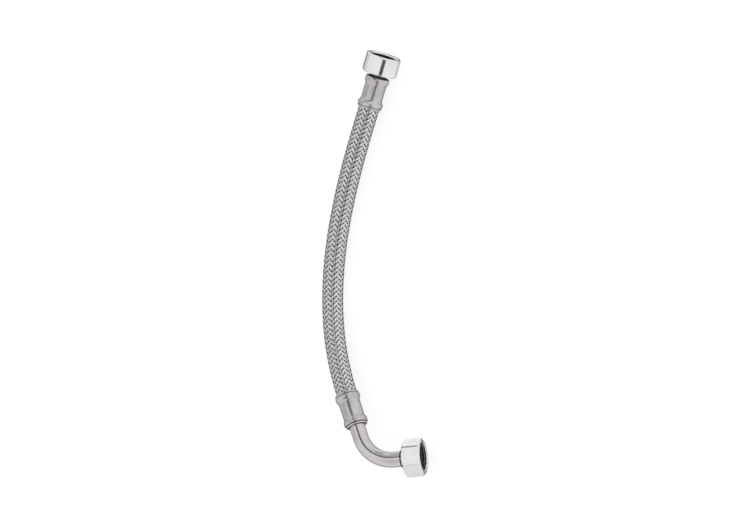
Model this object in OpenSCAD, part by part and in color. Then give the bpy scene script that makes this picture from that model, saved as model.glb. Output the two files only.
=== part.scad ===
// Braided stainless supply line: a straight swivel nut on one end, a bent tube
// with a second swivel nut on the other, and a braided rubber hose between them.
// The line lies at rest on the plane z = 0: each nut and the hose's bow touch it.
// Units are millimetres.

/* [Swivel nuts] */
// Width across the flats of each swivel nut
nut_af = 24; // [23.5:0.5:27]
// Length of each swivel nut
nut_len = 13.5; // [13:0.5:18]
// Thickness of the wall at the back of each nut
nut_back = 2.5; // [2:0.25:3.5]
// Gap between the upper nut and its ferrule
upper_gap = 2; // [1.75:0.25:3]

/* [Hose] */
// Outside diameter of the braided hose
hose_d = 15; // [14.6:0.1:15.4]
// Inside diameter of the rubber liner
liner_bore_d = 10; // [9.6:0.1:10]
// Thickness of the wire braid
braid_wall = 0.7; // [0.5:0.1:0.9]

/* [Ferrules] */
// Length of each crimped ferrule
ferrule_len = 23.5; // [23:0.5:26]
// Diameter of the bulged shoulder next to the braid
shoulder_d = 17.8; // [17.4:0.1:18.4]
// Diameter of the crimped waist
waist_d = 15.3; // [15.2:0.1:15.8]
// Diameter of the rolled rim at the fitting's end
rim_d = 17.2; // [16.6:0.1:17.6]

/* [Elbow] */
// Outside diameter of the bent tube
tube_d = 11.2; // [10.6:0.1:11.4]
// Wall of the bent tube
tube_wall = 1; // [0.8:0.1:1.4]
// Bend radius of the tube's centre line
bend_r = 25; // [24:0.5:32]
// Angle through which the tube turns
bend_turn = 74; // [60:1:90]
// Straight tube before the bend
bend_lead = 10.5; // [8:0.5:14]
// Straight tube between the bend and the lower nut
bend_tail = 8; // [6:0.5:12]

/* [Hidden] */
$fn = 96;
// Small step that lets one cut pass cleanly through a face
tiny = 0.001;

// G 1/2 pipe thread: inside diameter of a nut's thread
thread_minor_d = 18.631;
// The hexagon's corners and its 30 degree end chamfers
nut_ac = nut_af / cos(30);
chamfer_d = nut_af - 0.8;
chamfer_tan = tan(30);
mouth_bevel = 1.1;
mouth_d = thread_minor_d + 2.4;
nut_hole_d = 12.6;
relief_d = 21.2;

// Flange on each insert that pulls the washer against a tap, and the washer on it
flange_d = 18;
flange_t = 1.4;
flange_gap = 0.1;
washer_d = 18.4;
washer_bore_d = 12;
washer_t = 2;
washer_gap = 0.05;

// Seats of the flange and the washer, and the thread's start, from the nut's back face
flange_z = nut_back + flange_gap;
washer_z = flange_z + flange_t + washer_gap;
thread_z = washer_z + washer_t + washer_gap;

// Neck of the upper insert, and the sleeve of the lower collar behind its nut
neck_d = 12;
collar_out = 1.2;

// Stem inside the liner, with its barbs
stem_d = liner_bore_d;
stem_bore_d = 8;
stem_len = 20;
barb_d = stem_d + 0.8;
barb_len = 1.6;
barb_pitch = 4;
barb_count = 4;
barb_start = 1;
stem_shoulder_d = 13.6;
stem_shoulder_in = 1.9;
stem_shoulder_out = 0.9;

// The hose's layers: the liner's outside, and both where the crimp squeezes them
liner_r = hose_d / 2 - braid_wall;
crimp_d = 14;
crimp_liner_d = 12.6;
crimp_start = 2.2;
crimp_end = 20.8;
crimp_overlap = 1;

// Hose centre line in its own plane: points chosen along the bow, fitting to fitting
upper_mouth = [9.9, 108.5];
upper_heading = 24.5;
lower_mouth = [-23.7, -91.4];
lower_heading = 161;
bow = [
    [3.5, 95], [-3, 81], [-9, 67], [-14.6, 53], [-19.5, 39], [-23.8, 25], [-27.3, 11],
    [-30, -3], [-31.8, -17], [-32.7, -31], [-32.5, -46], [-31, -61], [-28, -76]
];
lead = 14;
function heading_vec(h) = [sin(h), cos(h)];
function lead_in(mouth, h, steps) = [for (k = steps) mouth + heading_vec(h) * lead * k];
route = concat(
    lead_in(upper_mouth, upper_heading, [2, 1, 0]),
    bow,
    lead_in(lower_mouth, lower_heading, [0, 1, 2])
);
first_t = 2;
last_t = len(route) - 3;

// The hose flexes about one pivot in the middle of the bow: the upper length ends
// there in a round nose, and the lower length starts `split` further along
pivot_t = 8.5;
split = 0.42;
nose_rings = 3;
rings_per_step = 1.5;
hose_sides = 12;
bore_over = 0.7;

// A smooth curve (uniform cubic B-spline) that the route's points steer
function spline_w(u) = [
    pow(1 - u, 3) / 6,
    (3 * pow(u, 3) - 6 * u * u + 4) / 6,
    (-3 * pow(u, 3) + 3 * u * u + 3 * u + 1) / 6,
    pow(u, 3) / 6
];
function spline_dw(u) = [
    -pow(1 - u, 2) / 2,
    (3 * u * u - 4 * u) / 2,
    (-3 * u * u + 2 * u + 1) / 2,
    u * u / 2
];
function step_of(t) = min(floor(t), len(route) - 3);
function weigh(t, w) = let (i = step_of(t))
    w[0] * route[i - 1] + w[1] * route[i] + w[2] * route[i + 1] + w[3] * route[i + 2];
function along(t) = weigh(t, spline_w(t - step_of(t)));
function tangent(t) = let (d = weigh(t, spline_dw(t - step_of(t)))) d / norm(d);

// How the finished line rests: the hose's plane leans, so that three places touch z = 0
rest_lean = 12.9;
rest_pitch = -3;
rest_at = [0.14, 3.19, 14.15];

// The straight tail of the tube runs this far into the bend, this much thinner
weld_overlap = 0.3;
weld_step = 0.02;

// Turn of each part about its own axis
elbow_spin = 154.5;
upper_nut_spin = 12.5;
lower_nut_spin = 12.6;

// ---- Where things go ----

module at_rest() {
    translate(rest_at) rotate([rest_pitch, -rest_lean, 0]) children();
}

// A fitting's own frame: origin at the ferrule's mouth, +Z out towards the nut
module at_end(mouth, heading) {
    at_rest() translate([mouth.x, mouth.y, 0]) rotate([-90, 0, -heading]) children();
}

module at_upper() { at_end(upper_mouth, upper_heading) children(); }
module at_lower() { at_end(lower_mouth, lower_heading) children(); }

upper_nut_z = ferrule_len + upper_gap;
module at_upper_nut() { at_upper() translate([0, 0, upper_nut_z]) children(); }

// The bent tube turns towards +X of this frame
module at_elbow() {
    at_lower() rotate([0, 0, elbow_spin]) translate([0, 0, ferrule_len]) children();
}

module at_bend_end() {
    at_elbow()
        translate([bend_r * (1 - cos(bend_turn)), 0, bend_lead + bend_r * sin(bend_turn)])
            rotate([0, bend_turn, 0])
                children();
}

module at_lower_nut() { at_bend_end() translate([0, 0, bend_tail]) children(); }

// ---- Shapes that both ends use ----

module ring(outer_d, inner_d, z0, z1) {
    translate([0, 0, z0])
        difference() {
            cylinder(d = outer_d, h = z1 - z0);
            translate([0, 0, -1]) cylinder(d = inner_d, h = z1 - z0 + 2);
        }
}

// Swivel nut: back face at z = 0, mouth at z = nut_len
module swivel_nut() {
    rise = (nut_ac - chamfer_d) / 2 * chamfer_tan;
    difference() {
        intersection() {
            cylinder(d = nut_ac, h = nut_len, $fn = 6);
            rotate_extrude() polygon([
                [0, 0], [chamfer_d / 2, 0], [nut_ac / 2, rise],
                [nut_ac / 2, nut_len - rise], [chamfer_d / 2, nut_len], [0, nut_len]
            ]);
        }
        translate([0, 0, -1]) cylinder(d = nut_hole_d, h = nut_back + 2);
        translate([0, 0, nut_back]) cylinder(d = relief_d, h = thread_z - nut_back);
        translate([0, 0, nut_back]) cylinder(d = thread_minor_d, h = nut_len);
        translate([0, 0, nut_len - mouth_bevel])
            cylinder(
                d1 = thread_minor_d,
                d2 = mouth_d,
                h = mouth_bevel + tiny
            );
    }
}

module washer() {
    ring(washer_d, washer_bore_d, washer_z, washer_z + washer_t);
}

// Crimped sleeve: rounded shoulder at the hose's end, waist, rolled rim at z = ferrule_len
module ferrule() {
    end = ferrule_len;
    lip_r = stem_shoulder_d / 2 + 0.1;
    rotate_extrude() polygon([
        [crimp_d / 2, crimp_start], [hose_d / 2 + 0.15, 0], [shoulder_d / 2 - 0.45, 0.4],
        [shoulder_d / 2, 1.6], [shoulder_d / 2, 4.4], [shoulder_d / 2 - 0.35, 5.6],
        [waist_d / 2 + 0.15, 7.4], [waist_d / 2, 8.6], [waist_d / 2, end - 6],
        [waist_d / 2 + 0.3, end - 4.4], [rim_d / 2 - 0.2, end - 2.6], [rim_d / 2, end - 1.6],
        [rim_d / 2 - 0.15, end - 0.8], [rim_d / 2 - 0.6, end - 0.2], [rim_d / 2 - 1, end],
        [lip_r, end], [lip_r, end - 2], [crimp_d / 2, end - 2.6]
    ]);
}

// Barbed stem inside the liner, up to the ferrule's end
module stem() {
    difference() {
        union() {
            translate([0, 0, ferrule_len - stem_len]) cylinder(d = stem_d, h = stem_len);
            for (k = [0 : barb_count - 1])
                translate([0, 0, ferrule_len - stem_len + barb_start + barb_pitch * k])
                    cylinder(d1 = stem_d, d2 = barb_d, h = barb_len);
            translate([0, 0, ferrule_len - stem_shoulder_in])
                cylinder(d = stem_shoulder_d, h = stem_shoulder_in);
        }
        cylinder(d = stem_bore_d, h = 2 * ferrule_len);
    }
}

// One ring of a bar along the route: a polygon of radius r, moved on from t by `ahead`
function ring_at(t, r, ahead = 0) = let (d = tangent(t), c = along(t) + d * ahead) [
    for (k = [0 : hose_sides - 1])
        let (a = 360 * k / hose_sides)
            [c.x - d.y * r * cos(a), c.y + d.x * r * cos(a), r * sin(a)]
];

// A solid bar of radius r along the route, with a round nose of `nose` rings at t1
module bar(t0, t1, r, nose = 0) {
    n = hose_sides;
    steps = ceil((t1 - t0) * rings_per_step);
    last = steps + nose;
    points = concat(
        [for (i = [0 : steps]) each ring_at(t0 + (t1 - t0) * i / steps, r)],
        [for (i = [1 : 1 : nose]) let (a = 90 * i / (nose + 1)) each ring_at(t1, r * cos(a), r * sin(a))]
    );
    sides = [
        for (i = [0 : last - 1], k = [0 : n - 1])
            let (k2 = (k + 1) % n, a = i * n)
                each [[a + k, a + n + k, a + k2], [a + k2, a + n + k, a + n + k2]]
    ];
    near_end = [for (k = [0 : n - 1]) k];
    far_end = [for (k = [n - 1 : -1 : 0]) last * n + k];
    polyhedron(points, concat(sides, [near_end, far_end]), convexity = 4);
}

// One length of a hose layer, as a tube
module hose_length(t0, t1, outer_r, inner_r, nose = 0) {
    at_rest() difference() {
        bar(t0, t1, outer_r, nose);
        bar(t0 - bore_over, t1 + bore_over, inner_r);
    }
}

// The same layer where the ferrule's crimp squeezes it
module crimped(outer_r, inner_r, crimped_outer_r, crimped_inner_r) {
    rotate_extrude() polygon([
        [inner_r, -crimp_overlap], [outer_r, -crimp_overlap], [outer_r, 0],
        [crimped_outer_r, crimp_start], [crimped_outer_r, crimp_end],
        [crimped_inner_r, crimp_end], [crimped_inner_r, crimp_start], [inner_r, 0]
    ]);
}
module crimped_braid() {
    crimped(hose_d / 2 - 0.3, liner_r + 0.05, crimp_d / 2, crimp_liner_d / 2);
}
module crimped_liner() {
    crimped(liner_r - 0.3, liner_bore_d / 2, crimp_liner_d / 2, liner_bore_d / 2);
}

// ---- The upper end ----

module upper_nut() {
    color("gainsboro") at_upper_nut() rotate([0, 0, upper_nut_spin]) swivel_nut();
}

module upper_washer() {
    color("dimgray") at_upper_nut() washer();
}

module upper_insert() {
    color("goldenrod") at_upper() union() {
        stem();
        ring(neck_d, stem_bore_d, ferrule_len - 1, upper_nut_z + flange_z + 0.5);
        ring(flange_d, stem_bore_d, upper_nut_z + flange_z, upper_nut_z + flange_z + flange_t);
    }
}

module upper_ferrule() {
    color("silver") at_upper() ferrule();
}

// ---- The hose ----

module braid_upper() {
    color("lightgray") union() {
        hose_length(first_t, pivot_t, hose_d / 2, liner_r, nose_rings);
        at_upper() crimped_braid();
    }
}

module liner_upper() {
    color("darkslategray") union() {
        hose_length(first_t, pivot_t, liner_r, liner_bore_d / 2, nose_rings);
        at_upper() crimped_liner();
    }
}

module braid_lower() {
    color("lightgray") union() {
        hose_length(pivot_t + split, last_t, hose_d / 2, liner_r);
        at_lower() crimped_braid();
    }
}

module liner_lower() {
    color("darkslategray") union() {
        hose_length(pivot_t + split, last_t, liner_r, liner_bore_d / 2);
        at_lower() crimped_liner();
    }
}

// ---- The lower end ----

module lower_ferrule() {
    color("silver") at_lower() ferrule();
}

module lower_insert() {
    color("silver") at_lower() union() {
        stem();
        ring(stem_shoulder_d, tube_d, ferrule_len - 1, ferrule_len + stem_shoulder_out);
    }
}

module bend(d) {
    translate([bend_r, 0, bend_lead]) rotate([90, 0, 180])
        rotate_extrude(angle = bend_turn) translate([bend_r, 0]) circle(d = d);
}

module elbow_tube() {
    color("silver") union() {
        at_elbow() ring(tube_d, tube_d - 2 * tube_wall, 0, bend_lead);
        at_elbow() difference() {
            bend(tube_d);
            bend(tube_d - 2 * tube_wall);
        }
        at_bend_end() ring(
            tube_d - weld_step,
            tube_d - 2 * tube_wall + weld_step,
            -weld_overlap,
            bend_tail + flange_z
        );
    }
}

module elbow_collar() {
    color("silver") at_lower_nut() union() {
        ring(neck_d, tube_d, -collar_out, flange_z + 0.5);
        ring(flange_d, tube_d - 2 * tube_wall, flange_z, flange_z + flange_t);
    }
}

module lower_washer() {
    color("dimgray") at_lower_nut() washer();
}

module lower_nut() {
    color("gainsboro") at_lower_nut() rotate([0, 0, lower_nut_spin]) swivel_nut();
}

upper_nut();
upper_washer();
upper_insert();
upper_ferrule();
braid_upper();
liner_upper();
braid_lower();
liner_lower();
lower_ferrule();
lower_insert();
elbow_tube();
elbow_collar();
lower_washer();
lower_nut();
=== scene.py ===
"""Looks of a braided supply line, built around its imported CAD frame.

Lengths are in metres in the row frame. Each fitting is made in its own frame, with +Z out of the
hose, and placed by the matrices in the section "Where things go".
"""

import bpy
import numpy as np
from mathutils import Matrix, Vector


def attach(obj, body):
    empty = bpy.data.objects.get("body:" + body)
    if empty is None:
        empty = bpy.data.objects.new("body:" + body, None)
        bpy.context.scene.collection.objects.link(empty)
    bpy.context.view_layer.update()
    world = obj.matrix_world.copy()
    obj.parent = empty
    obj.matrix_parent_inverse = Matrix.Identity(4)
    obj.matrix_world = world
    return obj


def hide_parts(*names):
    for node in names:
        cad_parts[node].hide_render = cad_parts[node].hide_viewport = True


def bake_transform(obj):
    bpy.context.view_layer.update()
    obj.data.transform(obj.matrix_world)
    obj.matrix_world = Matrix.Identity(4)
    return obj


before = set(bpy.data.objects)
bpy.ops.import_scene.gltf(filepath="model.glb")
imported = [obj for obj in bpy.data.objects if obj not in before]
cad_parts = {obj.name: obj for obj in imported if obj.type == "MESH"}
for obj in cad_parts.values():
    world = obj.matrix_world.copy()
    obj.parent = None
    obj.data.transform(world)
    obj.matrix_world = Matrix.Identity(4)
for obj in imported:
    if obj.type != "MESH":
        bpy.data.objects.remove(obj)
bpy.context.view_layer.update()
MM = 0.001

# ---- Sizes, as in the CAD model ----

# Nuts, and the washers in them
NUT_AF = 24 * MM
NUT_LEN = 13.5 * MM
NUT_BACK = 2.5 * MM
NUT_HOLE_R = 6.3 * MM
NUT_CHAMFER_R = 11.6 * MM
THREAD_MINOR_R = 9.3155 * MM
THREAD_MAJOR_R = 10.4775 * MM
THREAD_PITCH = 1.814 * MM
THREAD_START = 6.1 * MM
MOUTH_BEVEL = 1.1 * MM
WASHER_Z = 4.05 * MM
WASHER_T = 2 * MM
WASHER_R = 9.2 * MM
WASHER_BORE_R = 6 * MM
FLANGE_Z = 2.6 * MM
FLANGE_R = 9 * MM
FLANGE_T = 1.4 * MM

# Hose, ferrules and bent tube
HOSE_R = 7.5 * MM
LINER_R = 6.75 * MM
LINER_BORE_R = 5 * MM
CRIMP_R = 7 * MM
FERRULE_LEN = 23.5 * MM
UPPER_GAP = 2 * MM
TUBE_R = 5.6 * MM
TUBE_BORE_R = 4.6 * MM
BEND_R = 25 * MM
BEND_TURN = np.radians(74)
BEND_LEAD = 10.5 * MM
BEND_TAIL = 8 * MM

# The hose's route in its own plane, and how that plane rests, in millimetres and degrees
UPPER_MOUTH = (9.9, 108.5)
UPPER_HEADING = 24.5
LOWER_MOUTH = (-23.7, -91.4)
LOWER_HEADING = 161
BOW = [
    (3.5, 95), (-3, 81), (-9, 67), (-14.6, 53), (-19.5, 39), (-23.8, 25), (-27.3, 11),
    (-30, -3), (-31.8, -17), (-32.7, -31), (-32.5, -46), (-31, -61), (-28, -76),
]
LEAD_IN = 14
REST_LEAN, REST_PITCH = 12.9, -3
REST_AT = (0.14, 3.19, 14.15)
ELBOW_SPIN = 154.5
# How far the loose nuts happen to be turned, in degrees
UPPER_NUT_SPIN = 14.5
LOWER_NUT_SPIN = 6.8

# ---- Where things go ----


def turn(axis, degrees):
    """Turns about one of the axes."""
    return Matrix.Rotation(np.radians(degrees), 4, axis)


def shift(x, y, z):
    """Moves by metres."""
    return Matrix.Translation((x, y, z))


AT_REST = shift(*(v * MM for v in REST_AT)) @ turn("Y", -REST_LEAN) @ turn("X", REST_PITCH)


def at_end(mouth, heading):
    """A fitting's frame: origin at its ferrule's mouth, +Z out towards the nut."""
    return AT_REST @ shift(mouth[0] * MM, mouth[1] * MM, 0) @ turn("Z", -heading) @ turn("X", -90)


AT_UPPER = at_end(UPPER_MOUTH, UPPER_HEADING)
AT_LOWER = at_end(LOWER_MOUTH, LOWER_HEADING)
AT_UPPER_NUT = AT_UPPER @ shift(0, 0, FERRULE_LEN + UPPER_GAP)
AT_ELBOW = AT_LOWER @ turn("Z", ELBOW_SPIN) @ shift(0, 0, FERRULE_LEN)
AT_BEND_END = (
    AT_ELBOW
    @ shift(BEND_R * (1 - np.cos(BEND_TURN)), 0, BEND_LEAD + BEND_R * np.sin(BEND_TURN))
    @ turn("Y", np.degrees(BEND_TURN))
)
AT_LOWER_NUT = AT_BEND_END @ shift(0, 0, BEND_TAIL)


def heading_vec(degrees):
    """Unit vector in the hose's plane, this many degrees clockwise of its +Y."""
    angle = np.radians(degrees)
    return np.array([np.sin(angle), np.cos(angle)])


def lead_in(mouth, heading, steps):
    """Route points that run straight into a ferrule."""
    return [np.array(mouth) + heading_vec(heading) * LEAD_IN * k for k in steps]


ROUTE = np.array(
    lead_in(UPPER_MOUTH, UPPER_HEADING, (2, 1, 0))
    + [np.array(p, float) for p in BOW]
    + lead_in(LOWER_MOUTH, LOWER_HEADING, (0, 1, 2))
) * MM


def along(t):
    """The route's smooth curve at t: a uniform cubic B-spline, in the hose's plane."""
    span = np.clip(np.floor(t).astype(int), 1, len(ROUTE) - 3)
    u = (t - span)[:, None]
    weights = (
        (1 - u) ** 3 / 6,
        (3 * u**3 - 6 * u**2 + 4) / 6,
        (-3 * u**3 + 3 * u**2 + 3 * u + 1) / 6,
        u**3 / 6,
    )
    return sum(weight * ROUTE[span + k - 1] for k, weight in enumerate(weights))


def hose_line(inside):
    """Points of the hose's centre line, and how far along each one is, from `inside` one
    ferrule to `inside` the other. Distance 0 is at the upper mouth."""
    fine = along(np.linspace(2, len(ROUTE) - 3, 800))
    upper_in = np.array(UPPER_MOUTH) * MM + heading_vec(UPPER_HEADING) * inside
    lower_in = np.array(LOWER_MOUTH) * MM + heading_vec(LOWER_HEADING) * inside
    points = np.vstack([upper_in, fine, lower_in])
    steps = np.linalg.norm(np.diff(points, axis=0), axis=1)
    return points, np.concatenate([[0], np.cumsum(steps)]) - steps[0]


def to_row(points, matrix=AT_REST):
    """Points of a fitting or of the hose's plane, moved into the row frame."""
    matrix = np.array(matrix)
    return points @ matrix[:3, :3].T + matrix[:3, 3]


# ---- Camera: a long lens, high above the object ----

VIEW_DIR = Vector((0.4454, -0.0642, 0.8930))
VIEW_UP = Vector((0.1029, 0.9945, 0.0202))
VIEW_CENTRE = Vector((3.6, 1.9, 7)) * MM
# How wide the view is at the object
VIEW_WIDTH = 529.5 * MM
VIEW_DISTANCE = 12


def view_matrix():
    """The camera's rotation: its right, its up and the way back to it."""
    back = VIEW_DIR.normalized()
    right = VIEW_UP.cross(back).normalized()
    up = back.cross(right)
    return Matrix((right, up, back)).transposed().to_4x4()


def make_camera():
    data = bpy.data.cameras.new("camera")
    data.sensor_width = 36
    data.lens = data.sensor_width * VIEW_DISTANCE / VIEW_WIDTH
    data.clip_end = 100
    camera = bpy.data.objects.new("camera", data)
    bpy.context.scene.collection.objects.link(camera)
    place = VIEW_CENTRE + VIEW_DIR.normalized() * VIEW_DISTANCE
    camera.matrix_world = Matrix.Translation(place) @ view_matrix()
    bpy.context.scene.camera = camera


make_camera()

# ---- Meshes ----

LATHE_STEPS = 160
CORNER_STEPS = 4
CREASE_ANGLE = np.radians(32)


def grid_piece(name, local, matrix, material, wrap_rows=False, caps=False, grain=None, painted_shade=0):
    """A piece from a grid of points: rows run along it, and columns close round it.
    `grain` holds the place of each point as the material sees it, in millimetres, and
    `painted_shade` how much painted shade darkens each point, from 0 to 1."""
    rows, cols = local.shape[:2]
    this_row = np.arange(rows if wrap_rows else rows - 1)[:, None] * cols
    next_row = (this_row + cols) % (rows * cols)
    this_col = np.arange(cols)[None, :]
    next_col = (this_col + 1) % cols
    quads = np.stack(
        [this_row + this_col, this_row + next_col, next_row + next_col, next_row + this_col], -1
    )
    faces = quads.reshape(-1, 4).tolist()
    if caps:
        faces.append(list(range(cols - 1, -1, -1)))
        faces.append([(rows - 1) * cols + k for k in range(cols)])
    mesh = bpy.data.meshes.new(name)
    flat = local.reshape(-1, 3)
    mesh.from_pydata(to_row(flat, matrix).tolist(), [], faces)
    mesh.polygons.foreach_set("use_smooth", [True] * len(mesh.polygons))
    place = mesh.attributes.new("grain", "FLOAT_VECTOR", "POINT")
    grain = flat / MM if grain is None else grain.reshape(-1, 3)
    place.data.foreach_set("vector", grain.astype(np.float32).ravel())
    dark = mesh.attributes.new("painted_shade", "FLOAT", "POINT")
    dark.data.foreach_set("value", (np.zeros((rows, cols)) + painted_shade).astype(np.float32).ravel())
    mesh.update()
    piece = bpy.data.objects.new(name, mesh)
    bpy.context.scene.collection.objects.link(piece)
    mesh.materials.append(material)
    return piece


def join(name, pieces):
    """One object from several that share a material."""
    with bpy.context.temp_override(
        active_object=pieces[0], selected_editable_objects=pieces
    ):
        bpy.ops.object.join()
    pieces[0].name = name
    return pieces[0]


def unit(vector):
    return vector / np.linalg.norm(vector)


def soften(outline):
    """An outline with its corners rounded: each corner is (r, z, radius)."""
    out = []
    corners = len(outline)
    for k, (r, z, radius) in enumerate(outline):
        here = np.array([r, z])
        if radius == 0:
            out.append(here)
            continue
        before = unit(np.array(outline[(k - 1) % corners][:2]) - here)
        after = unit(np.array(outline[(k + 1) % corners][:2]) - here)
        half_angle = np.arccos(np.clip(before @ after, -1, 1)) / 2
        back = radius / np.tan(half_angle)
        start, end = here + before * back, here + after * back
        centre = here + unit(before + after) * radius / np.sin(half_angle)
        for u in np.linspace(0, 1, CORNER_STEPS + 1):
            out.append(centre + unit(start + (end - start) * u - centre) * radius)
    return np.array(out)


def lathe(name, outline, matrix, material, crevices=()):
    """A piece turned about its own Z, from a closed outline of (r, z, corner radius) in mm.
    Each crevice is (lowest z, highest z, radius): the surface inside it gets painted shade."""
    profile = soften(outline)
    painted_shade = np.zeros((len(profile), 1))
    for z_low, z_high, radius in crevices:
        inside = (profile[:, 1] > z_low) & (profile[:, 1] < z_high) & (profile[:, 0] < radius)
        painted_shade[inside] = 1
    profile = profile * MM
    angle = np.linspace(0, 2 * np.pi, LATHE_STEPS, endpoint=False)
    r, z = profile[:, 0][:, None], profile[:, 1][:, None]
    local = np.stack([r * np.cos(angle), r * np.sin(angle), z + 0 * angle], -1)
    return grid_piece(name, local, matrix, material, wrap_rows=True, painted_shade=painted_shade)


# ---- Sizes of the braid ----

# Bands each way, the length in which one goes once round, and its flat section
BANDS = 12
BAND_LEAD = 42.8 * MM
BAND_WIDTH = 2.3 * MM
BAND_THICK = 0.24 * MM
WIRES = 6
# How far a band rises over the others and sinks under them
BAND_RISE = 0.2 * MM
WEAVE_STEEPNESS = 1.35
BRAID_MEAN_R = HOSE_R - BAND_RISE - BAND_THICK / 2
BRAID_PHASE = np.radians(30)
SAMPLES_PER_CROSSING = 4
# Heights over the middle of a band, in band thicknesses: its wires' crests, the valleys
# between them, how much lower its edges lie, and its back
WIRE_CREST, WIRE_VALLEY, EDGE_DROP, BAND_BACK = 0.5, 0.15, 1.1, -1.2
BACK_HALF_WIDTH = 0.42
# How far apart two bands lie in the noise that colours them
GRAIN_GAP = 7 * MM
# How far the hose goes into each ferrule, and where the crimp squeezes it
HOSE_INSIDE = 6 * MM
BAND_END_GAP = 0.2 * MM
CRIMP_RUN = 2.2 * MM

# ---- Materials ----


# Colours of painted shade: in crevices and inside the nuts, and along the edges between braid bands
PAINTED_SHADE_COLOUR = (0.03, 0.028, 0.027)
BAND_EDGE_SHADE_COLOUR = (0.02, 0.02, 0.02)
# Where across a band's half width the painted shade between bands begins, and where it is full
BAND_SHADE_START, BAND_SHADE_FULL = 0.56, 0.84
CLOUD_SCALE = 0.12
NOISE_ROUGHNESS = 0.55


class Nodes:
    """Short hand for building one material's node tree."""

    def __init__(self, name):
        self.material = bpy.data.materials.new(name)
        self.material.use_nodes = True
        self.tree = self.material.node_tree
        self.shader = self.tree.nodes["Principled BSDF"]

    def add(self, kind, **settings):
        node = self.tree.nodes.new(kind)
        for key, value in settings.items():
            setattr(node, key, value)
        return node

    def link(self, output, socket):
        self.tree.links.new(output, socket)

    def grain(self, scale):
        """The piece's own coordinates in millimetres, stretched by scale."""
        place = self.add("ShaderNodeAttribute", attribute_name="grain")
        mapping = self.add("ShaderNodeMapping")
        mapping.inputs["Scale"].default_value = scale
        self.link(place.outputs["Vector"], mapping.inputs["Vector"])
        return mapping.outputs["Vector"]

    def noise(self, vector, scale=1.0, detail=4.0):
        node = self.add("ShaderNodeTexNoise")
        node.inputs["Scale"].default_value = scale
        node.inputs["Detail"].default_value = detail
        node.inputs["Roughness"].default_value = NOISE_ROUGHNESS
        self.link(vector, node.inputs["Vector"])
        return node.outputs["Fac"]

    def remap(self, value, low, high, start=0.3, end=0.7):
        """The value, stretched so that start..end becomes low..high."""
        node = self.add("ShaderNodeMapRange")
        ends = {"From Min": start, "From Max": end, "To Min": low, "To Max": high}
        for key, number in ends.items():
            node.inputs[key].default_value = number
        self.link(value, node.inputs["Value"])
        return node.outputs["Result"]

    def mix_colour(self, value, start, end):
        """From one colour to the other by value; the first may be another node's output."""
        node = self.add("ShaderNodeMix", data_type="RGBA")
        if isinstance(start, tuple):
            node.inputs["A"].default_value = (*start, 1)
        else:
            self.link(start, node.inputs["A"])
        node.inputs["B"].default_value = (*end, 1)
        self.link(value, node.inputs["Factor"])
        return node.outputs["Result"]

    def bump(self, height, distance):
        node = self.add("ShaderNodeBump")
        node.inputs["Distance"].default_value = distance
        self.link(height, node.inputs["Height"])
        self.feed("Normal", node.outputs["Normal"])

    def feed(self, name, output):
        """Gives one of the shader's sockets its value from a node."""
        self.link(output, self.shader.inputs[name])

    def set(self, **values):
        """Sets the shader's sockets to constants."""
        for key, value in values.items():
            self.shader.inputs[key.replace("_", " ")].default_value = value


def metal(name, dark, light, rough, brush, bump):
    """A brushed or polished metal: `brush` stretches the grain, as (x, y, z) scales per mm.
    Crevices, where the piece's painted shade mask is 1, are painted nearly black as shade."""
    look = Nodes(name)
    streaks = look.noise(look.grain(brush), detail=6.0)
    cloud = look.noise(look.grain((CLOUD_SCALE,) * 3), detail=3.0)
    unshaded = look.mix_colour(look.remap(cloud, 0, 1), dark, light)
    # Painted shade: the colour goes nearly black in the crevices marked on the mesh
    painted_shade = look.add("ShaderNodeAttribute", attribute_name="painted_shade").outputs["Fac"]
    look.feed("Base Color", look.mix_colour(painted_shade, unshaded, PAINTED_SHADE_COLOUR))
    smoothest, roughest = rough
    look.feed("Roughness", look.remap(streaks, smoothest, roughest))
    look.bump(streaks, bump)
    look.set(Metallic=1.0)
    return look.material


def rubber(name, dark, light):
    """A dull, finely speckled rubber."""
    look = Nodes(name)
    speckle = look.noise(look.grain((3, 3, 3)), detail=5.0)
    look.feed("Base Color", look.mix_colour(look.remap(speckle, 0, 1), dark, light))
    look.feed("Roughness", look.remap(speckle, 0.45, 0.65))
    look.bump(speckle, 0.03 * MM)
    return look.material


def braid_metal():
    """Drawn wire: fine streaks along each band, each band a little different, and painted
    shade along its edges, where it dips under the others."""
    look = Nodes("braid_wire")
    streaks = look.noise(look.grain((0.3, 9, 1)), detail=4.0)
    island = look.add("ShaderNodeNewGeometry").outputs["Random Per Island"]
    tone = look.add("ShaderNodeMath", operation="ADD")
    look.link(look.remap(streaks, 0, 0.6), tone.inputs[0])
    look.link(look.remap(island, 0, 0.4, 0, 1), tone.inputs[1])
    split = look.add("ShaderNodeSeparateXYZ")
    look.link(look.grain((1, 1, 1)), split.inputs[0])
    offset = look.add("ShaderNodeMath", operation="ABSOLUTE")
    look.link(split.outputs["Y"], offset.inputs[0])
    # Painted shade along each band's edges, where it dips under its neighbours
    half = BAND_WIDTH / MM / 2
    edge = look.remap(offset.outputs[0], 0, 1, BAND_SHADE_START * half, BAND_SHADE_FULL * half)
    unshaded = look.mix_colour(tone.outputs[0], (0.60, 0.585, 0.585), (0.86, 0.84, 0.84))
    look.feed("Base Color", look.mix_colour(edge, unshaded, BAND_EDGE_SHADE_COLOUR))
    look.feed("Roughness", look.remap(streaks, 0.16, 0.3))
    look.bump(streaks, 0.02 * MM)
    look.set(Metallic=1.0)
    return look.material


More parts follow.
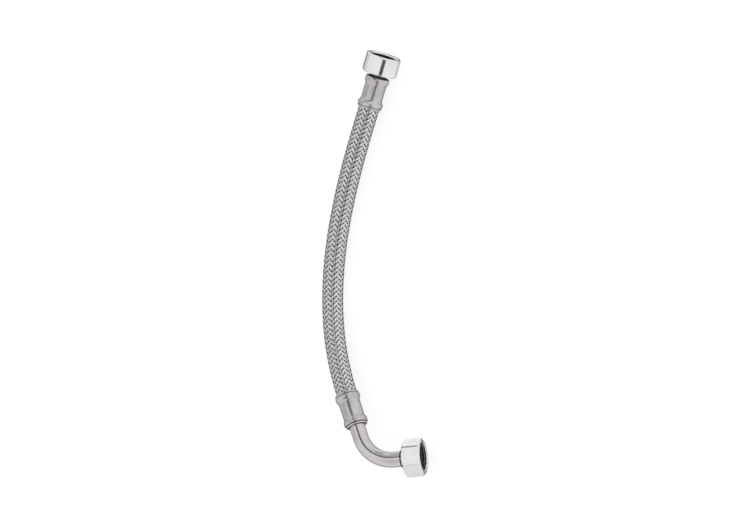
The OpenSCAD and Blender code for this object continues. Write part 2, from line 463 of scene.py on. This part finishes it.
POLISHED = metal(
    "polished_nut",
    dark=(0.84, 0.82, 0.83),
    light=(0.92, 0.90, 0.91),
    rough=(0.08, 0.16),
    brush=(0.5, 0.5, 6),
    bump=0.003 * MM,
)
SATIN = metal(
    "satin_steel",
    dark=(0.50, 0.485, 0.485),
    light=(0.66, 0.64, 0.64),
    rough=(0.17, 0.3),
    brush=(5, 5, 0.2),
    bump=0.012 * MM,
)
TUBE_SATIN = metal(
    "tube_steel",
    dark=(0.62, 0.60, 0.60),
    light=(0.70, 0.68, 0.68),
    rough=(0.16, 0.22),
    brush=(2, 2, 0.3),
    bump=0.002 * MM,
)
# The upper insert's near-black colour is painted shade for the gap between the upper ferrule and nut
BRASS_IN_PAINTED_SHADE = metal(
    "brass_in_painted_shade",
    dark=(0.05, 0.045, 0.04),
    light=(0.09, 0.08, 0.07),
    rough=(0.35, 0.5),
    brush=(0.6, 0.6, 8),
    bump=0.01 * MM,
)
LINER = rubber("liner_rubber", dark=(0.012, 0.012, 0.012), light=(0.03, 0.03, 0.03))
SEAL = rubber("seal_rubber", dark=(0.02, 0.02, 0.02), light=(0.05, 0.05, 0.05))
WIRE = braid_metal()

# ---- Hose: a rubber liner inside 24 woven bands of wire ----

line_points, line_at = hose_line(HOSE_INSIDE)
FREE_LENGTH = line_at[-2]


def line_place(distance):
    """The hose's centre at these distances, in its own plane."""
    x = np.interp(distance, line_at, line_points[:, 0])
    y = np.interp(distance, line_at, line_points[:, 1])
    return np.stack([x, y, 0 * x], -1)


def line_side(distance):
    """The direction across the hose in its own plane, at these distances."""
    step = 0.5 * MM
    run = line_place(distance + step) - line_place(distance - step)
    run /= np.linalg.norm(run, axis=1)[:, None]
    return np.stack([-run[:, 1], run[:, 0], run[:, 2]], -1)


def squeeze(distance):
    """How much smaller the hose is where a ferrule's crimp squeezes it."""
    past = np.maximum(-distance, distance - FREE_LENGTH)
    return (HOSE_R - CRIMP_R) * np.clip(past / CRIMP_RUN, 0, 1)


def around_line(distance, radius, angle):
    """Points at this radius and angle round the hose's centre line."""
    up = np.array([0, 0, 1.0])
    out = np.cos(angle)[:, None] * line_side(distance) + np.sin(angle)[:, None] * up
    return line_place(distance) + out * radius[:, None]


def weave(crossings):
    """1 where a band passes over, -1 where it passes under: over two, under two."""
    return np.clip(WEAVE_STEEPNESS * np.cos(np.pi / 2 * (crossings - 0.5)), -1, 1)


def band_section():
    """A band's outline, as (place across in band widths, height in band thicknesses)."""
    points = 2 * WIRES + 1
    across = np.linspace(-0.5, 0.5, points)
    wires = np.where(np.arange(points) % 2 == 1, WIRE_CREST, WIRE_VALLEY)
    top = wires - EDGE_DROP * (2 * across) ** 4
    return [*zip(across, top), (BACK_HALF_WIDTH, BAND_BACK), (-BACK_HALF_WIDTH, BAND_BACK)]


def band(index, way):
    """One flat band of parallel wires, winding one way or the other round the liner:
    its points, and the place of each as the material sees it."""
    inside = HOSE_INSIDE - BAND_END_GAP
    turns = (FREE_LENGTH + 2 * inside) / BAND_LEAD
    count = int(turns * 2 * BANDS * SAMPLES_PER_CROSSING)
    along_hose = np.linspace(-inside, FREE_LENGTH + inside, count)
    turn_rate = way * 2 * np.pi / BAND_LEAD
    angle = BRAID_PHASE + 2 * np.pi * index / BANDS + turn_rate * along_hose
    crossings = 2 * index + way * 2 * BANDS * along_hose / BAND_LEAD
    middle_r = BRAID_MEAN_R + way * weave(crossings) * BAND_RISE - squeeze(along_hose)
    slope = np.arctan(abs(turn_rate) * BRAID_MEAN_R)
    own_grain = (index + 20 * way) * GRAIN_GAP
    still = 0 * along_hose
    columns, grain = [], []
    for across, height in band_section():
        offset = across * BAND_WIDTH
        place = along_hose - way * offset * np.sin(slope)
        turned = angle + offset * np.cos(slope) / BRAID_MEAN_R
        columns.append(around_line(place, middle_r + height * BAND_THICK, turned))
        grain.append(np.stack([along_hose, still + offset, still + own_grain], -1) / MM)
    return np.stack(columns[::-1], 1), np.stack(grain[::-1], 1)


def make_braid(name, way):
    """All the bands that wind one way, as one piece."""
    bands = []
    for index in range(BANDS):
        local, grain = band(index, way)
        bands.append(grid_piece(f"{name}_{index}", local, AT_REST, WIRE, caps=True, grain=grain))
    braid = join(name, bands)
    return braid


def make_liner():
    """The rubber tube inside the braid."""
    distance = np.linspace(-HOSE_INSIDE, FREE_LENGTH + HOSE_INSIDE, 160)
    still = 0 * distance
    outer, inner = [], []
    for angle in np.linspace(0, 2 * np.pi, 48, endpoint=False):
        outer.append(around_line(distance, LINER_R - squeeze(distance), still + angle))
        inner.append(around_line(distance, LINER_BORE_R + still, still + angle))
    local = np.concatenate([np.stack(outer, 1), np.stack(inner, 1)[::-1]])
    liner = grid_piece("liner", local[:, ::-1], AT_REST, LINER, wrap_rows=True)
    return liner


def make_hose():
    """The braid and the liner, in place of the CAD model's braid and liner pieces."""
    braids = [make_braid("braid_right_hand", 1), make_braid("braid_left_hand", -1)]
    liner = make_liner()
    for piece in (*braids, liner):
        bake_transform(piece)
    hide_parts("braid_upper", "braid_lower")
    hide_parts("liner_upper", "liner_lower")


make_hose()

# ---- Fittings ----

# How deep each nut's corners are worn, and how softly the wear runs out
UPPER_LAND = 0.85 * MM
LOWER_LAND = 0.35 * MM
LAND_EASE = 0.06 * MM
# Rounding of the nuts' edges, and small steps inside them
NUT_EASE = 0.12 * MM
HOLE_BEVEL = 0.2 * MM
BORE_EASE = 0.1 * MM
THREAD_ROWS = 64
THREAD_RUNOUT = 0.6 * MM
# How much painted shade darkens the inside of a nut
NUT_PAINTED_SHADE = 0.8
THIRTY_DEGREES = np.pi / 6


def thread_radius(turns):
    """Radius of the nut's G 1/2 thread, `turns` pitches along: rounded crests and roots."""
    u = np.abs((turns % 1) * 2 - 1)
    return THREAD_MINOR_R + (THREAD_MAJOR_R - THREAD_MINOR_R) * (0.5 - 0.5 * np.cos(np.pi * u))


def hex_angles():
    """Angles round a hexagon whose corners are at 0, 60, ... degrees, closest at the corners."""
    u = np.linspace(-1, 1, 48, endpoint=False)
    sector = np.sign(u) * np.abs(u) ** 1.6 * THIRTY_DEGREES
    return np.concatenate([sector + k * 2 * THIRTY_DEGREES for k in range(6)])


def hex_radius(angle, land_depth):
    """Outside of the nut's hexagon, with each corner worn to a narrow land."""
    a = (angle + THIRTY_DEGREES) % (2 * THIRTY_DEGREES) - THIRTY_DEGREES
    flat = NUT_AF / 2 / np.cos(THIRTY_DEGREES - np.abs(a))
    land = (NUT_AF / 2 / np.cos(THIRTY_DEGREES) - land_depth) / np.cos(a)
    return 0.5 * (flat + land - np.hypot(flat - land, LAND_EASE))


def nut_outside(outside):
    """Rows of a nut from its back hole round its hexagon to its front face, as (radius, z).
    A number in a row stands for a whole circle of it."""
    rise = (outside - NUT_CHAMFER_R) * np.tan(THIRTY_DEGREES)
    ease = NUT_EASE
    rows = [
        (NUT_HOLE_R, HOLE_BEVEL), (NUT_HOLE_R + HOLE_BEVEL, 0),
        (NUT_CHAMFER_R - ease, 0), (NUT_CHAMFER_R + ease, 0.5 * ease),
        (outside - ease, rise - 0.6 * ease), (outside, rise + ease),
    ]
    rows += [(outside, z) for z in np.linspace(rise + 1.6 * ease, NUT_LEN - rise - 1.6 * ease, 5)]
    return rows + [
        (outside, NUT_LEN - rise - ease), (outside - ease, NUT_LEN - rise + 0.6 * ease),
        (NUT_CHAMFER_R + ease, NUT_LEN - 0.5 * ease), (NUT_CHAMFER_R - ease, NUT_LEN),
    ]


def nut_inside(angle):
    """Rows of a nut's inside, as (radius, z): a bevelled mouth, the thread and a relief."""
    mouth = THREAD_MAJOR_R + 0.05 * MM
    relief = THREAD_MAJOR_R + 0.12 * MM
    depth = THREAD_MAJOR_R - THREAD_MINOR_R
    rows = [(mouth + BORE_EASE, NUT_LEN), (mouth, NUT_LEN - BORE_EASE)]
    for z in np.linspace(NUT_LEN - 0.15 * MM, THREAD_START, THREAD_ROWS):
        cone = mouth - (NUT_LEN - z) / MOUTH_BEVEL * (mouth - THREAD_MINOR_R)
        runout = THREAD_MAJOR_R - (z - THREAD_START) / THREAD_RUNOUT * depth
        thread = thread_radius(z / THREAD_PITCH - angle / (2 * np.pi))
        rows.append((np.maximum(thread, max(cone, runout)), z))
    return rows + [
        (relief, THREAD_START - BORE_EASE), (relief, NUT_BACK + BORE_EASE),
        (relief - BORE_EASE, NUT_BACK), (NUT_HOLE_R, NUT_BACK),
    ]


def make_nut(name, matrix, body, land_depth):
    """A chamfered hexagon, open to the back for the flange and threaded at its mouth."""
    angle = hex_angles()
    outer_rows = nut_outside(hex_radius(angle, land_depth))
    rows = outer_rows + nut_inside(angle)
    r = np.array([radius + 0 * angle for radius, _ in rows])
    z = np.array([height + 0 * angle for _, height in rows])
    # The nut's inside, behind the mouth's bevel, gets painted shade
    painted_shade = np.where(z < NUT_LEN - MOUTH_BEVEL, NUT_PAINTED_SHADE, 0)
    painted_shade[: len(outer_rows)] = 0
    local = np.stack([r * np.cos(angle), r * np.sin(angle), z], -1)
    nut = grid_piece(f"{name}_threaded", local, matrix, POLISHED, wrap_rows=True, painted_shade=painted_shade)
    nut.data.set_sharp_from_angle(angle=CREASE_ANGLE)
    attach(nut, body)
    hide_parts(name)


def make_washer(name, matrix, body):
    """A flat rubber ring with rounded edges."""
    back, front = WASHER_Z / MM, (WASHER_Z + WASHER_T) / MM
    inner, outer = WASHER_BORE_R / MM, WASHER_R / MM
    outline = [(inner, back, 0.3), (outer, back, 0.3), (outer, front, 0.3), (inner, front, 0.3)]
    washer = lathe(f"{name}_ring", outline, matrix, SEAL)
    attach(washer, body)
    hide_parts(name)


def make_ferrule(name, matrix, body, mouth, end, rise):
    """A crimped sleeve: a bulged shoulder at the braid, a waist, and a rolled rim at `end`
    round an opening of radius `mouth`, in millimetres. The rim swells over the length `rise`."""
    lip = [
        (7.1, 2.2, 0.2), (7.62, 0.3, 0.1), (8.25, 0, 0.2), (8.65, 0.5, 0.25), (8.6, 1.2, 0.15),
    ]
    shoulder = [
        (8.35, 1.5, 0.1), (8.75, 1.9, 0.15), (8.98, 2.8, 0.6), (8.85, 4.2, 0.8), (7.95, 5.6, 0.4),
    ]
    waist = [(7.66, 6.6, 0.5), (7.65, 12, 0), (7.65, end - 3.1 - rise, 0.5)]
    rim = [
        (8.52, end - 3.1, 0.6), (8.7, end - 1.3, 0.5), (8.35, end - 0.1, 0.2),
        (8.05, end, 0.12), (mouth, end - 0.5, 0.1), (mouth - 0.1, end - 2.8, 0.1),
    ]
    outline = lip + shoulder + waist + rim
    # Painted shade in the crease under the lip, inside the rim's opening and inside the lip
    crevices = [(1.3, 1.7, 8.6), (end - 4, end - 0.15, 8), (0, 2.4, 7.64)]
    ferrule = lathe(f"{name}_sleeve", outline, matrix, SATIN, crevices=crevices)
    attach(ferrule, body)
    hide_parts(name)


# Where the ferrules' rims end, in millimetres. The upper one is set back from its nut
UPPER_RIM = FERRULE_LEN / MM - 0.6
LOWER_RIM = FERRULE_LEN / MM
# Radii of an insert's barbed stem in millimetres, where it starts, and its barbs
STEM_BORE, STEM, BARB = 4, 5, 5.4
STEM_START = 3.5
BARBS, BARB_PITCH = 4, 4


def barbed_stem(shoulder_z):
    """Outline of the barbed stem in the liner, from its bore's far end to its shoulder."""
    points = [(STEM_BORE, STEM_START, 0.2), (STEM - 0.3, STEM_START, 0.2)]
    for k in range(BARBS):
        z = STEM_START + 1 + BARB_PITCH * k
        points += [(STEM, z, 0), (BARB, z + 1.6, 0.08), (STEM, z + 1.65, 0.05)]
    return points + [(STEM, shoulder_z, 0.05)]


def make_upper_insert():
    """Barbed stem, a cup that fills the ferrule's opening, a neck through the nut's back
    and the flange that pulls the washer."""
    end, back = FERRULE_LEN / MM, (FERRULE_LEN + UPPER_GAP + FLANGE_Z) / MM
    flange, front = FLANGE_R / MM, back + FLANGE_T / MM
    cup = [
        (7.7, end - 4.5, 0.1), (7.7, end - 1.4, 0.05), (7.5, end - 1.4, 0.05), (7.5, end - 3.2, 0.1),
    ]
    neck = [(5.9, end - 3, 0.2), (5.9, back, 0.1)]
    disc = [(flange, back, 0.2), (flange, front, 0.3), (STEM_BORE, front, 0.3)]
    outline = barbed_stem(end - 4.5) + cup + neck + disc
    # Its near-black colour is painted shade
    insert = lathe("upper_barbed_insert", outline, AT_UPPER, BRASS_IN_PAINTED_SHADE)
    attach(insert, "upper_end")
    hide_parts("upper_insert")


def make_lower_insert():
    """Barbed stem with a steel ring round the bent tube, which is brazed into it."""
    end = FERRULE_LEN / MM
    ring = [
        (7, end - 2, 0.1), (7, end + 0.3, 0.08), (7.7, end + 0.5, 0.12), (7.8, end + 1.2, 0.3),
        (6.9, end + 1.6, 0.3), (6.4, end + 0.9, 0.15), (TUBE_R / MM, end + 0.3, 0.05),
    ]
    outline = barbed_stem(end - 2) + ring + [(STEM_BORE, end - 0.9, 0.1)]
    # Painted shade on the ring where it sits in the ferrule's rim, and in its groove round the tube
    crevices = [(end - 2, end + 0.45, 7.4), (end, end + 1, 6.5)]
    insert = lathe("lower_barbed_insert", outline, AT_LOWER, TUBE_SATIN, crevices=crevices)
    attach(insert, "lower_end")
    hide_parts("lower_insert")


def elbow_line():
    """Stations of the bent tube's centre line, as (x, z, how far it has turned)."""
    stations = [(0, z, 0) for z in np.linspace(0, BEND_LEAD, 12, endpoint=False)]
    for turned in np.linspace(0, BEND_TURN, 72):
        x = BEND_R * (1 - np.cos(turned))
        stations.append((x, BEND_LEAD + BEND_R * np.sin(turned), turned))
    x, z, _ = stations[-1]
    for past in np.linspace(0, BEND_TAIL + FLANGE_Z, 13)[1:]:
        stations.append((x + past * np.sin(BEND_TURN), z + past * np.cos(BEND_TURN), BEND_TURN))
    return np.array(stations)


def make_elbow():
    """The bent tube, from the lower ferrule to its flange in the lower nut."""
    x, z, turned = (column[:, None] for column in elbow_line().T)
    angle = np.linspace(0, 2 * np.pi, 96, endpoint=False)
    rings = []
    for radius in (TUBE_R, TUBE_BORE_R):
        across, up = radius * np.cos(angle), radius * np.sin(angle)
        ring = [x + across * np.cos(turned), up + 0 * x, z - across * np.sin(turned)]
        rings.append(np.stack(ring, -1))
    outer, inner = rings
    far = np.concatenate([[0], np.cumsum(np.hypot(np.diff(x[:, 0]), np.diff(z[:, 0])))])[:, None]
    straight = [TUBE_R * np.cos(angle) + 0 * far, TUBE_R * np.sin(angle) + 0 * far, far + 0 * angle]
    place = np.stack(straight, -1) / MM
    local = np.concatenate([outer, inner[::-1]])
    grain = np.concatenate([place, place[::-1]])
    tube = grid_piece("bent_tube", local, AT_ELBOW, TUBE_SATIN, wrap_rows=True, grain=grain)
    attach(tube, "lower_end")
    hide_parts("elbow_tube")


def make_collar():
    """The short sleeve brazed on the tube behind the lower nut, and the flange in the nut."""
    tube, bore, sleeve, flange = TUBE_R / MM, TUBE_BORE_R / MM, 6.15, FLANGE_R / MM
    back, front = FLANGE_Z / MM, (FLANGE_Z + FLANGE_T) / MM
    outline = [
        (tube, -3, 0.05), (sleeve, -2.85, 0.1), (sleeve, -2, 0), (sleeve, -1.8, 0),
        (sleeve, back, 0.1), (flange, back, 0.15), (flange, front, 0.2), (bore, front, 0.1),
        (bore, back + 0.05, 0), (tube, back + 0.02, 0),
    ]
    # Painted shade on the sleeve's back end, at the tube
    crevices = [(-3.1, -1.9, 7)]
    collar = lathe("collar_and_flange", outline, AT_LOWER_NUT, TUBE_SATIN, crevices=crevices)
    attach(collar, "lower_end")
    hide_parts("elbow_collar")


make_nut("upper_nut", AT_UPPER_NUT @ turn("Z", UPPER_NUT_SPIN), "upper_swivel", UPPER_LAND)
make_nut("lower_nut", AT_LOWER_NUT @ turn("Z", LOWER_NUT_SPIN), "lower_swivel", LOWER_LAND)
make_washer("upper_washer", AT_UPPER_NUT, "upper_seal")
make_washer("lower_washer", AT_LOWER_NUT, "lower_seal")
make_ferrule("upper_ferrule", AT_UPPER, "upper_end", mouth=7.85, end=UPPER_RIM, rise=2.6)
make_ferrule("lower_ferrule", AT_LOWER, "lower_end", mouth=7.1, end=LOWER_RIM, rise=1.8)
make_elbow()
make_collar()
make_upper_insert()
make_lower_insert()

# ---- Studio ----

FLOOR_HALF = 6
PANEL_DISTANCE = 4


def stage_piece(name, points, faces, material):
    """A plain mesh that belongs to the studio."""
    mesh = bpy.data.meshes.new(name)
    mesh.from_pydata([tuple(p) for p in points], [], faces)
    mesh.materials.append(material)
    obj = bpy.data.objects.new(name, mesh)
    bpy.context.scene.collection.objects.link(obj)
    return obj


def make_floor():
    """A floor that glows a little, so that it stays white. The metal doesn't mirror it."""
    look = Nodes("floor_white")
    speck = look.noise(look.add("ShaderNodeTexCoord").outputs["Object"], scale=40)
    colour = look.mix_colour(look.remap(speck, 0, 1), (0.30, 0.30, 0.30), (0.32, 0.32, 0.32))
    look.feed("Base Color", colour)
    look.set(Roughness=0.8, Specular_IOR_Level=0.1, Emission_Color=(1, 1, 1, 1), Emission_Strength=0.78)
    signs = [(-1, -1), (1, -1), (1, 1), (-1, 1)]
    corners = [(FLOOR_HALF * x, FLOOR_HALF * y, 0) for x, y in signs]
    floor = stage_piece("floor", corners, [(0, 1, 2, 3)], look.material)
    floor.visible_glossy = False


def seen_at(right, up):
    """Direction at these angles to the right of the camera and above it, in degrees."""
    h, v = np.radians(right), np.radians(up)
    side = np.array([np.sin(h) * np.cos(v), np.sin(v), np.cos(h) * np.cos(v)])
    return np.array(view_matrix().to_3x3()) @ side


def make_panel(name, course, tone):
    """A long panel that only reflections show: each part of its course is (right, up, half
    width) in degrees, and it glows with this tone."""
    knots = np.array(course, float)
    t = np.linspace(0, len(knots) - 1, 90)
    line = np.stack([smooth_through(knots[:, k], t) for k in range(2)], -1)
    half_width = smooth_through(knots[:, 2], t)[:, None]
    run = np.gradient(line, axis=0)
    across = np.stack([-run[:, 1], run[:, 0]], -1) / np.linalg.norm(run, axis=1)[:, None]
    points = []
    for side in (-1, 1):
        for p in line + across * side * half_width:
            points.append(seen_at(*p) * PANEL_DISTANCE)
    n = len(line)
    faces = [(k, k + 1, n + k + 1, n + k) for k in range(n - 1)]
    look = Nodes(f"{name}_surface")
    look.set(Base_Color=(0.01, 0.01, 0.01, 1), Roughness=1, Specular_IOR_Level=0)
    look.set(Emission_Color=(1, 0.99, 0.99, 1), Emission_Strength=tone)
    panel = stage_piece(name, points, faces, look.material)
    panel.visible_camera = False
    panel.visible_diffuse = False
    panel.visible_shadow = False


def smooth_through(values, t):
    """A Catmull-Rom curve through the values, at t."""
    p = np.concatenate([[2 * values[0] - values[1]], values, [2 * values[-1] - values[-2]]])
    span = np.minimum(t.astype(int), len(values) - 2)
    u = t - span
    a, b, c, d = (p[span + k] for k in range(4))
    square, cube = 2 * a - 5 * b + 4 * c - d, 3 * b - a - 3 * c + d
    return 0.5 * (2 * b + (c - a) * u + square * u**2 + cube * u**3)


# The dark seam between the studio's bright sides, which the metal mirrors as a long line
SEAM = [
    (-2, -60, 14), (-2, -34, 11), (-1, -19, 10), (2, -10, 9), (3, 0, 6), (0, 11, 5),
    (-9, 21, 6), (-22, 27, 9), (-33, 30, 9), (-40, 32, 7),
]
# Dim patches: two above the seam, one that the lower nut's corner mirrors, left and below
DIM_TOP = [(-40, 70, 8), (-20, 70, 9), (-2, 68, 8)]
DIM_ABOVE = [(-20, 50, 8), (-45, 49, 10), (-70, 45, 10)]
DIM_CORNER = [(-84, 62, 6), (-72, 64, 7), (-62, 65, 6)]
DIM_LEFT = [(-105, 0, 15), (-78, 14, 13), (-64, 22, 7)]
DIM_BELOW = [(-30, -8, 8), (-30, -24, 13), (-30, -42, 14), (-32, -56, 12)]
# Bright strips above the object, below it and behind it
BRIGHT_TOP = [(5, 44, 8), (22, 44, 12), (42, 37, 15), (62, 33, 13)]
BRIGHT_LOW = [(8, -66, 7), (28, -68, 10), (52, -66, 10)]
BRIGHT_BEHIND = [(-195, 42, 12), (-170, 42, 14), (-145, 44, 12)]


# The world's brightness, from straight away from the camera (0) to behind it (1)
WORLD_LEVELS = [(0.0, 0.22), (0.10, 0.36), (0.22, 0.72), (0.45, 0.92), (1.0, 0.88)]


def make_world():
    """Bright all round the camera's side, and darker where the object turns away from it."""
    world = bpy.data.worlds.new("studio")
    world.use_nodes = True
    tree = world.node_tree
    background = tree.nodes["Background"]
    place = tree.nodes.new("ShaderNodeTexCoord")
    towards = tree.nodes.new("ShaderNodeVectorMath")
    towards.operation = "DOT_PRODUCT"
    towards.inputs[1].default_value = VIEW_DIR.normalized()
    tree.links.new(place.outputs["Generated"], towards.inputs[0])
    ramp = tree.nodes.new("ShaderNodeValToRGB")
    ramp.color_ramp.interpolation = "B_SPLINE"
    shift_up = tree.nodes.new("ShaderNodeMath")
    shift_up.operation = "MULTIPLY_ADD"
    shift_up.inputs[1].default_value = 0.5
    shift_up.inputs[2].default_value = 0.5
    tree.links.new(towards.outputs["Value"], shift_up.inputs[0])
    tree.links.new(shift_up.outputs[0], ramp.inputs["Fac"])
    stops = ramp.color_ramp.elements
    while len(stops) < len(WORLD_LEVELS):
        stops.new(0.5)
    for stop, (at, level) in zip(stops, WORLD_LEVELS):
        stop.position = at
        stop.color = (level, level * 0.99, level * 0.99, 1)
    tree.links.new(ramp.outputs["Color"], background.inputs["Color"])
    background.inputs["Strength"].default_value = 1.0
    bpy.context.scene.world = world
    bpy.context.scene.view_settings.view_transform = "Standard"


make_floor()
make_panel("seam", SEAM, 0.05)
make_panel("dim_top", DIM_TOP, 0.25)
make_panel("dim_above", DIM_ABOVE, 0.5)
make_panel("dim_corner", DIM_CORNER, 0.12)
make_panel("dim_left", DIM_LEFT, 0.62)
make_panel("dim_below", DIM_BELOW, 0.7)
make_panel("bright_top", BRIGHT_TOP, 0.9)
make_panel("bright_low", BRIGHT_LOW, 0.9)
make_panel("bright_behind", BRIGHT_BEHIND, 0.95)
make_world()
